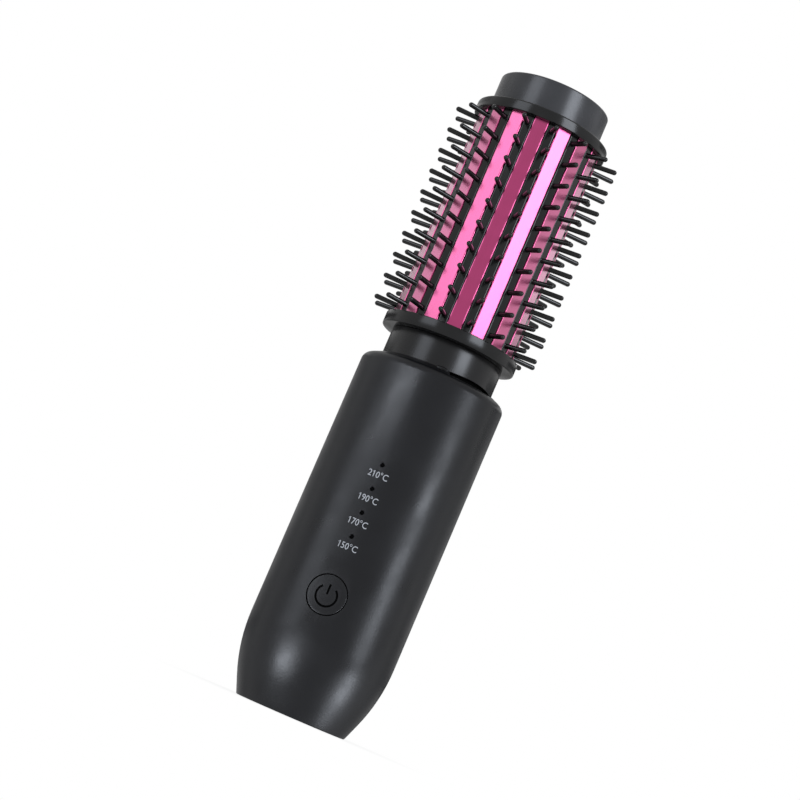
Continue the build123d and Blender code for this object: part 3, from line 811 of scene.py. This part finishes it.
def noise_in(tree, start, scale, detail=3.0, stretch=None):
    """Noise over the object's own coordinates, with its scale taken from a group input."""
    place = add(tree, "ShaderNodeTexCoord").outputs["Object"]
    if stretch:
        mapping = add(tree, "ShaderNodeMapping", Scale=stretch)
        tree.links.new(place, mapping.inputs["Vector"])
        place = mapping.outputs["Vector"]
    noise = add(tree, "ShaderNodeTexNoise", Detail=detail)
    tree.links.new(place, noise.inputs["Vector"])
    tree.links.new(start.outputs[scale], noise.inputs["Scale"])
    return noise.outputs["Fac"]


grain, start, end = new_group("moulded grain", {"Scale": 3000.0, "Cloud scale": 60.0}, ("Height", "Cloud"))
grain.links.new(noise_in(grain, start, "Scale"), end.inputs["Height"])
grain.links.new(noise_in(grain, start, "Cloud scale", 5.0), end.inputs["Cloud"])

handling, start, end = new_group("handling marks", {"Scale": 90.0, "Low": 0.4, "High": 0.5}, ("Roughness",))
spread = add(handling, "ShaderNodeMapRange", From_Min=0.3, From_Max=0.7)
handling.links.new(noise_in(handling, start, "Scale", 6.0), spread.inputs["Value"])
handling.links.new(start.outputs["Low"], spread.inputs["To Min"])
handling.links.new(start.outputs["High"], spread.inputs["To Max"])
handling.links.new(spread.outputs["Result"], end.inputs["Roughness"])

rub, start, end = new_group("edge rub", {"Sharpness": 6.0, "Break up": 200.0}, ("Mask",))
edge = add(rub, "ShaderNodeMapRange", From_Min=0.5, From_Max=0.62)
rub.links.new(add(rub, "ShaderNodeNewGeometry").outputs["Pointiness"], edge.inputs["Value"])
worn = math_of(rub, "MULTIPLY", edge.outputs["Result"], start.outputs["Sharpness"], use_clamp=True)
worn = math_of(rub, "MULTIPLY", worn, noise_in(rub, start, "Break up"), use_clamp=True)
rub.links.new(worn, end.inputs["Mask"])

streaks, start, end = new_group("long streaks", {"Scale": 900.0}, ("Streak",))
streaks.links.new(noise_in(streaks, start, "Scale", 4.0, (1.0, 1.0, 0.03)), end.inputs["Streak"])
print("node groups:", ", ".join(g.name for g in bpy.data.node_groups))

# %% [markdown]
# ## Plastics
#
# All the black plastics share one recipe: two close shades that drift into each other like flow in
# the mould, a fine grain in the bump, uneven gloss from handling and slightly lighter rubbed edges.
# What makes them differ is the gloss: soft-touch coat, plain satin, or the polished neck.

# %% Plastic finishes


def use(tree, group, **values):
    """Place a node group in a material with its own input values."""
    return add(tree, "ShaderNodeGroup", node_tree=group, **values)


def mixed(tree, factor, first, second):
    """Colour between two others by a factor; each colour is a value or an output."""
    mix = add(tree, "ShaderNodeMix", data_type="RGBA")
    tree.links.new(factor, mix.inputs["Factor"])
    for name, colour in (("A", first), ("B", second)):
        socket = next(s for s in mix.inputs if s.name == name and s.type == "RGBA")
        if isinstance(colour, tuple):
            socket.default_value = (*colour, 1)
        else:
            tree.links.new(colour, socket)
    return next(s for s in mix.outputs if s.type == "RGBA")


def new_material(name):
    """Empty node material with a Principled shader, as (material, tree, shader)."""
    material = bpy.data.materials.new(name)
    material.use_nodes = True
    tree = material.node_tree
    return material, tree, tree.nodes["Principled BSDF"]


def bumped(tree, shader, height, distance):
    """Bump at half strength from a height value, in metres."""
    bump = add(tree, "ShaderNodeBump", Distance=distance, Strength=0.5)
    tree.links.new(height, bump.inputs["Height"])
    tree.links.new(bump.outputs["Normal"], shader.inputs["Normal"])


def plastic(name, shade, tint, worn, gloss, grain_scale=3000.0, depth=2e-5, specular=0.5):
    """Moulded plastic from two shades, a worn edge colour and a (smooth, rough) pair."""
    material, tree, shader = new_material(name)
    texture = use(tree, grain, Scale=grain_scale)
    body = mixed(tree, texture.outputs["Cloud"], shade, tint)
    edges = use(tree, rub)
    tree.links.new(mixed(tree, edges.outputs["Mask"], body, worn), shader.inputs["Base Color"])
    marks = use(tree, handling, Low=gloss[0], High=gloss[1])
    tree.links.new(marks.outputs["Roughness"], shader.inputs["Roughness"])
    shader.inputs["Specular IOR Level"].default_value = specular
    bumped(tree, shader, texture.outputs["Height"], depth)
    return material


finishes = {
    "handle_black": plastic("soft touch black", (0.0014, 0.0017, 0.0026), (0.0024, 0.0027, 0.0038),
                            (0.008, 0.008, 0.009), (0.26, 0.40), 2200.0, 4e-5, 0.23),
    "base_black": plastic("matt base black", (0.004, 0.004, 0.0045), (0.007, 0.007, 0.0075),
                          (0.02, 0.02, 0.02), (0.5, 0.62), specular=0.3),
    "neck_black": plastic("polished neck black", (0.0022, 0.0024, 0.003), (0.0036, 0.0038, 0.0046),
                          (0.008, 0.008, 0.009), (0.21, 0.28), 5000.0, 3e-6, 0.27),
    "flange_black": plastic("satin flange black", (0.0024, 0.0026, 0.003), (0.0038, 0.004, 0.0044),
                            (0.012, 0.012, 0.012), (0.15, 0.20), 4000.0, 3e-6, 0.23),
    "cap_grey": plastic("cool cap grey", (0.023, 0.0245, 0.0265), (0.030, 0.0315, 0.0345),
                        (0.05, 0.05, 0.055), (0.23, 0.30), 4000.0, 3e-6, 0.3),
    "bristle_black": plastic("bristle black", (0.0018, 0.002, 0.0022), (0.003, 0.0033, 0.0035),
                             (0.006, 0.006, 0.006), (0.12, 0.18), 5000.0, 3e-6, 0.28),
    "switch_black": plastic("switch black", (0.01, 0.01, 0.01), (0.018, 0.018, 0.018),
                            (0.04, 0.04, 0.04), (0.45, 0.6)),
    "frame_white": plastic("frame natural white", (0.62, 0.61, 0.57), (0.72, 0.71, 0.68),
                           (0.8, 0.8, 0.78), (0.45, 0.55)),
    "lead_sleeve": plastic("lead sleeve", (0.55, 0.5, 0.42), (0.68, 0.64, 0.56),
                           (0.7, 0.68, 0.6), (0.5, 0.65)),
    "ceramic": plastic("heater ceramic", (0.68, 0.66, 0.6), (0.8, 0.79, 0.75),
                       (0.85, 0.84, 0.8), (0.6, 0.75)),
    "sensor_bead": plastic("sensor glass", (0.25, 0.07, 0.03), (0.35, 0.12, 0.05),
                           (0.4, 0.2, 0.1), (0.1, 0.2)),
    "board_green": plastic("board lacquer", (0.012, 0.11, 0.045), (0.02, 0.16, 0.07),
                           (0.2, 0.3, 0.15), (0.28, 0.4)),
    "cell_blue": plastic("cell sleeve", (0.03, 0.2, 0.4), (0.05, 0.27, 0.5),
                         (0.2, 0.4, 0.6), (0.2, 0.32)),
    "lamp_chip": plastic("lamp chip", (0.75, 0.72, 0.5), (0.85, 0.82, 0.62),
                         (0.9, 0.9, 0.8), (0.3, 0.5)),
    "clear_plastic": plastic("smoked lens", (0.001, 0.001, 0.0012), (0.002, 0.002, 0.0024),
                             (0.003, 0.003, 0.003), (0.3, 0.4), 4000.0, 2e-6, specular=0.01),
}
# Black paint and painted shade: near-black and almost unreflecting, for the sign's line and for the slot's
# back, where it stands in for shadow.
black_paint_and_shade = plastic("black paint and painted shade", (0.001, 0.001, 0.001), (0.002, 0.002, 0.002),
                     (0.003, 0.003, 0.003), (0.5, 0.7), specular=0.01)
print(len(finishes), "plastic finishes")

# %% [markdown]
# ## Metals and the pink coating
#
# The barrel faces carry a glossy metallic pink coat that mirrors the soft boxes, so the faces look
# very different from each other: one catches a light, its neighbour the dark gap between two. Fine
# streaks along the barrel and cloudy gloss keep it from looking like a flat mirror. A clear coat
# over it grows stronger on the faces that are seen from the side, and makes those paler.

# %% Metal finishes
COAT_SLANT = (0.03, 0.33)
COAT_IOR = 1.8
COAT_ROUGHNESS = 0.25


def metal(name, shade, tint, gloss, streak_scale=900.0, depth=3e-6, coat=None):
    """Metal with streaks along its length, and maybe a clear coat of (face-on, slanted) weight."""
    material, tree, shader = new_material(name)
    lines = use(tree, streaks, Scale=streak_scale)
    tree.links.new(mixed(tree, lines.outputs["Streak"], shade, tint), shader.inputs["Base Color"])
    marks = use(tree, handling, Low=gloss[0], High=gloss[1])
    if coat:
        slant = add(tree, "ShaderNodeLayerWeight", Blend=0.5)
        weight = add(tree, "ShaderNodeMapRange", From_Min=COAT_SLANT[0], From_Max=COAT_SLANT[1],
                     To_Min=coat[0], To_Max=coat[1])
        tree.links.new(slant.outputs["Facing"], weight.inputs["Value"])
        tree.links.new(weight.outputs["Result"], shader.inputs["Coat Weight"])
        shader.inputs["Coat IOR"].default_value = COAT_IOR
        shader.inputs["Coat Roughness"].default_value = COAT_ROUGHNESS
    tree.links.new(marks.outputs["Roughness"], shader.inputs["Roughness"])
    shader.inputs["Metallic"].default_value = 1.0
    bumped(tree, shader, lines.outputs["Streak"], depth)
    return material


finishes["pink_coating"] = metal("pink coat", (0.30, 0.016, 0.10), (0.34, 0.021, 0.12), (0.27, 0.32),
                                 1200.0, 1e-6, (0.4, 1.0))
finishes["nickel"] = metal("nickel", (0.56, 0.54, 0.5), (0.66, 0.63, 0.58), (0.2, 0.32))
finishes["steel"] = metal("plated steel", (0.5, 0.51, 0.52), (0.6, 0.6, 0.61), (0.25, 0.4))
finishes["bare_aluminium"] = metal("bare aluminium", (0.7, 0.7, 0.71), (0.8, 0.8, 0.8), (0.3, 0.45))

figure_ink, tree, shader = new_material("figure ink")
texture = use(tree, grain, Scale=2500.0)
ink = mixed(tree, texture.outputs["Height"], (0.44, 0.45, 0.47), (0.64, 0.65, 0.67))
tree.links.new(ink, shader.inputs["Base Color"])
marks = use(tree, handling, Low=0.5, High=0.65)
tree.links.new(marks.outputs["Roughness"], shader.inputs["Roughness"])
bumped(tree, shader, texture.outputs["Height"], 3e-6)
print(len(finishes), "finishes in all")

# %% [markdown]
# ## Finishes for the CAD nodes
#
# CAD nodes that keep their own shape, such as the cells and boards inside, take the finish of the
# material slot that the record names for them.

# %% Dress the CAD nodes
for name, node in nodes.items():
    slot_name = node.material_slots[0].material.name.split(".")[0]
    for material_slot in node.material_slots:
        material_slot.material = finishes[slot_name]
print("slots in use:", sorted({n.material_slots[0].material.name for n in nodes.values()}))

# %% [markdown]
# ## Finishes and bodies for the dressed pieces
#
# The dressed pieces replace their CAD nodes and ride on the same body, so the button still moves when
# it is pressed, and its sign moves with it. The figures are print, which no CAD node stands for.

# %% Attach the dressed pieces


def attach(made, body, slot_name, *replaced, material=None):
    """Finish a piece, make it ride on a body and let it stand for CAD nodes."""
    made.data.materials.clear()
    made.data.materials.append(material or finishes[slot_name])
    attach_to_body(made, body)
    if replaced:
        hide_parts(*replaced)


attach(front_half, "handle", "handle_black", "front_shell")
attach(back_half, "handle", "handle_black", "back_shell")
attach(button, "button", "handle_black", "power_button")
# The sign's strips carry black paint that is also painted shade.
attach(sign_ring, "button", "switch_black", material=black_paint_and_shade)
attach(sign_stroke, "button", "switch_black", material=black_paint_and_shade)
attach(neck, "handle", "neck_black", "neck_collar")
# The slot's strip carries painted shade, not a real seal.
attach(slot_shade_strip, "handle", "neck_black", material=black_paint_and_shade)
attach(lower_ring, "handle", "flange_black", "lower_flange")
attach(upper_ring, "handle", "flange_black", "upper_flange")
attach(cap, "handle", "cap_grey", "end_cap")
attach(barrel, "handle", "pink_coating", "barrel")
for i, made in enumerate(strips):
    attach(made, "handle", "bristle_black", f"bristle_strip_{i + 1:02d}")
for made in figures:
    made.data.materials.append(figure_ink)
    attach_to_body(made, "handle")
print("pieces attached")

# %% [markdown]
# ## Floor and room
#
# The brush stands on a plain white floor in a white room. What the camera, mirrors and glass see of
# them is white at strength 1, while the room itself gives only a modest even light. Close to the
# brush a tenth of the floor's own shading shows, with the shadow in it, and a little further out it
# fades into the white.

# %% Floor and room
WHITE_FROM = 0.012
WHITE_TO = 0.045
NEAR_WHITE = 0.9
ROOM_LIGHT = 0.12


def seen_directly(tree):
    """One for what the camera, mirrors and glass see, and zero for light that falls on things."""
    path = add(tree, "ShaderNodeLightPath")
    seen = math_of(tree, "MAXIMUM", path.outputs["Is Camera Ray"], path.outputs["Is Glossy Ray"])
    return math_of(tree, "MAXIMUM", seen, path.outputs["Is Transmission Ray"])


floor_mesh = bmesh.new()
bmesh.ops.create_grid(floor_mesh, x_segments=8, y_segments=8, size=3)
floor = piece("floor", floor_mesh)
floor_material, tree, shader = new_material("white floor")
speckle = use(tree, grain, Scale=300.0)
paint = mixed(tree, speckle.outputs["Cloud"], (0.80, 0.80, 0.80), (0.84, 0.84, 0.84))
tree.links.new(paint, shader.inputs["Base Color"])
shader.inputs["Roughness"].default_value = 0.9
distance = add(tree, "ShaderNodeVectorMath", operation="LENGTH")
tree.links.new(add(tree, "ShaderNodeNewGeometry").outputs["Position"], distance.inputs[0])
fade = add(tree, "ShaderNodeMapRange", interpolation_type="SMOOTHSTEP",
           From_Min=WHITE_FROM, From_Max=WHITE_TO, To_Min=NEAR_WHITE)
tree.links.new(distance.outputs["Value"], fade.inputs["Value"])
share = math_of(tree, "MULTIPLY", fade.outputs["Result"], seen_directly(tree))
white = add(tree, "ShaderNodeEmission", Strength=1.0)
blend_shader = add(tree, "ShaderNodeMixShader")
tree.links.new(share, blend_shader.inputs[0])
tree.links.new(shader.outputs[0], blend_shader.inputs[1])
tree.links.new(white.outputs[0], blend_shader.inputs[2])
tree.links.new(blend_shader.outputs[0], tree.nodes["Material Output"].inputs["Surface"])
floor.data.materials.append(floor_material)
floor.visible_glossy = False
floor.visible_shadow = False

world = bpy.data.worlds.new("white room")
bpy.context.scene.world = world
world.use_nodes = True
tree = world.node_tree
room = tree.nodes["Background"]
level = add(tree, "ShaderNodeMapRange", To_Min=ROOM_LIGHT, To_Max=1.0)
tree.links.new(seen_directly(tree), level.inputs["Value"])
room.inputs["Color"].default_value = (1, 1, 1, 1)
tree.links.new(level.outputs["Result"], room.inputs["Strength"])
bpy.context.scene.view_settings.view_transform = "Standard"
print("floor and room ready")

# %% [markdown]
# ## Soft boxes
#
# Tall narrow soft boxes stand at both sides of the camera, and the brush mirrors them as bright
# stripes. The floor is a thin light table: boxes may reach under it, and their mirror images give the
# bright patches on the tapered foot. Boxes for the satin handle shine on the handle only, those at
# the sides on the barrel only, and the others on all but the handle, so each surface gets highlights
# of its own. A box is given by its angle from the camera, its two heights, its width and its radiance.

# %% Soft boxes
CAMERA_SIDE = 180 - degrees(atan2(CAMERA_AT.x, CAMERA_AT.y))
COOL_WHITE = (0.92, 0.98, 1.08)


def lit_group(name, members, state):
    """Collection of the pieces that a lamp lights, or with EXCLUDE of those that it leaves out."""
    group = bpy.data.collections.new(name)
    for made in members:
        group.objects.link(made)
    for entry in group.collection_objects:
        entry.light_linking.link_state = state
    return group


HANDLE_PIECES = (front_half, back_half, button)
handle_only = lit_group("lights the handle only", HANDLE_PIECES, "INCLUDE")
all_but_handle = lit_group("lights all but the handle", HANDLE_PIECES, "EXCLUDE")
barrel_only = lit_group("lights the barrel only", (barrel,), "INCLUDE")


def soft_box(name, away, bottom, top, width, radiance, shines_on, distance=700.0):
    """Upright soft box at degrees from the camera round the brush, between two heights in mm."""
    light = bpy.data.lights.new(name, "AREA")
    light.shape = "RECTANGLE"
    light.size = width * MM
    light.size_y = (top - bottom) * MM
    light.energy = radiance * pi * light.size * light.size_y
    light.color = COOL_WHITE
    box = bpy.data.objects.new(name, light)
    bpy.context.scene.collection.objects.link(box)
    place = Vector(at_azimuth(distance, (bottom + top) / 2, CAMERA_SIDE + away)) * MM
    back = Vector((place.x, place.y, 0)).normalized()
    across = Vector((0, 0, 1)).cross(back)
    facing = Matrix((across, Vector((0, 0, 1)), back)).transposed()
    box.matrix_world = Matrix.Translation(place) @ facing.to_4x4()
    box.visible_camera = False
    box.light_linking.receiver_collection = shines_on


BOXES = [
    ("left box above", -46, 200, 620, 320, 3.8, all_but_handle),
    ("right box above", 38, 198, 620, 290, 10.3, all_but_handle),
    ("left rim box", -95, 240, 370, 300, 1.4, barrel_only),
    ("right rim box", 95, 240, 370, 300, 1.4, barrel_only),
    ("left far rim box", -128, 235, 365, 260, 1.0, barrel_only),
    ("right far rim box", 128, 235, 365, 260, 1.0, barrel_only),
    ("left small box by the shoulder", -36, 100, 113, 60, 16.0, handle_only, 120.0),
    ("left box beside", -58, 30, 195, 340, 3.6, handle_only),
    ("left box under the table", -42, -310, -140, 360, 23.0, handle_only),
    ("right box beside", 60, 75, 172, 200, 21.0, handle_only),
    ("right box below", 62, 20, 85, 190, 7.5, handle_only),
    ("right box under the table", 66, -440, -140, 200, 27.0, handle_only),
]
for values in BOXES:
    soft_box(*values)

# %% [markdown]
# ## Cards
#
# The rims of round pieces mirror what stands behind them. A white room alone would draw wide pale
# bands there, so cards stand behind the brush, out of the picture and seen by glossy surfaces only:
# black at the height of the neck, grey at the heights of the handle and the cap.

# %% Cards behind the brush
CARD_AT = 600.0
CARD_THICK = 3


def card_behind(name, start, end, bottom, top, level):
    """Curved card in the room behind the brush, seen only by glossy surfaces, at a grey level."""
    card_material, tree, shader = new_material(name)
    card_grain = use(tree, grain, Scale=300.0)
    glow = mixed(tree, card_grain.outputs["Cloud"], (level * 0.9,) * 3, (level * 1.1,) * 3)
    tree.links.new(glow, shader.inputs["Emission Color"])
    shader.inputs["Emission Strength"].default_value = 1.0
    paper = mixed(tree, card_grain.outputs["Cloud"], (0.02,) * 3, (0.04,) * 3)
    tree.links.new(paper, shader.inputs["Base Color"])
    card_marks = use(tree, handling, Low=0.8, High=0.9)
    tree.links.new(card_marks.outputs["Roughness"], shader.inputs["Roughness"])
    shader.inputs["Specular IOR Level"].default_value = 0.1
    outline = band(CARD_AT, CARD_AT + CARD_THICK, bottom, top)
    card = piece(name, sector(outline, CAMERA_SIDE + start, CAMERA_SIDE + end, steps=12))
    card.data.materials.append(card_material)
    card.visible_camera = False
    card.visible_diffuse = False
    card.visible_shadow = False


CARDS = [
    ("card under the flange", 115, 245, -14, 22, 0.02),
    ("left card at the foot", 180, 245, -450, -14, 0.48),
    ("right card at the foot", 115, 180, -450, -14, 0.42),
    ("left card at the handle", 180, 245, 22, 192, 0.50),
    ("right card at the handle", 115, 180, 22, 192, 0.45),
    ("card at the neck", 115, 245, 192, 233, 0.02),
    ("left card at the flange", 180, 245, 344, 357, 0.30),
    ("right card at the flange", 115, 180, 344, 357, 0.02),
    ("left card at the cap", 180, 245, 357, 440, 0.55),
    ("right card at the cap", 115, 180, 357, 440, 0.22),
]
for values in CARDS:
    card_behind(*values)
print(len(CARDS), "cards behind the brush")
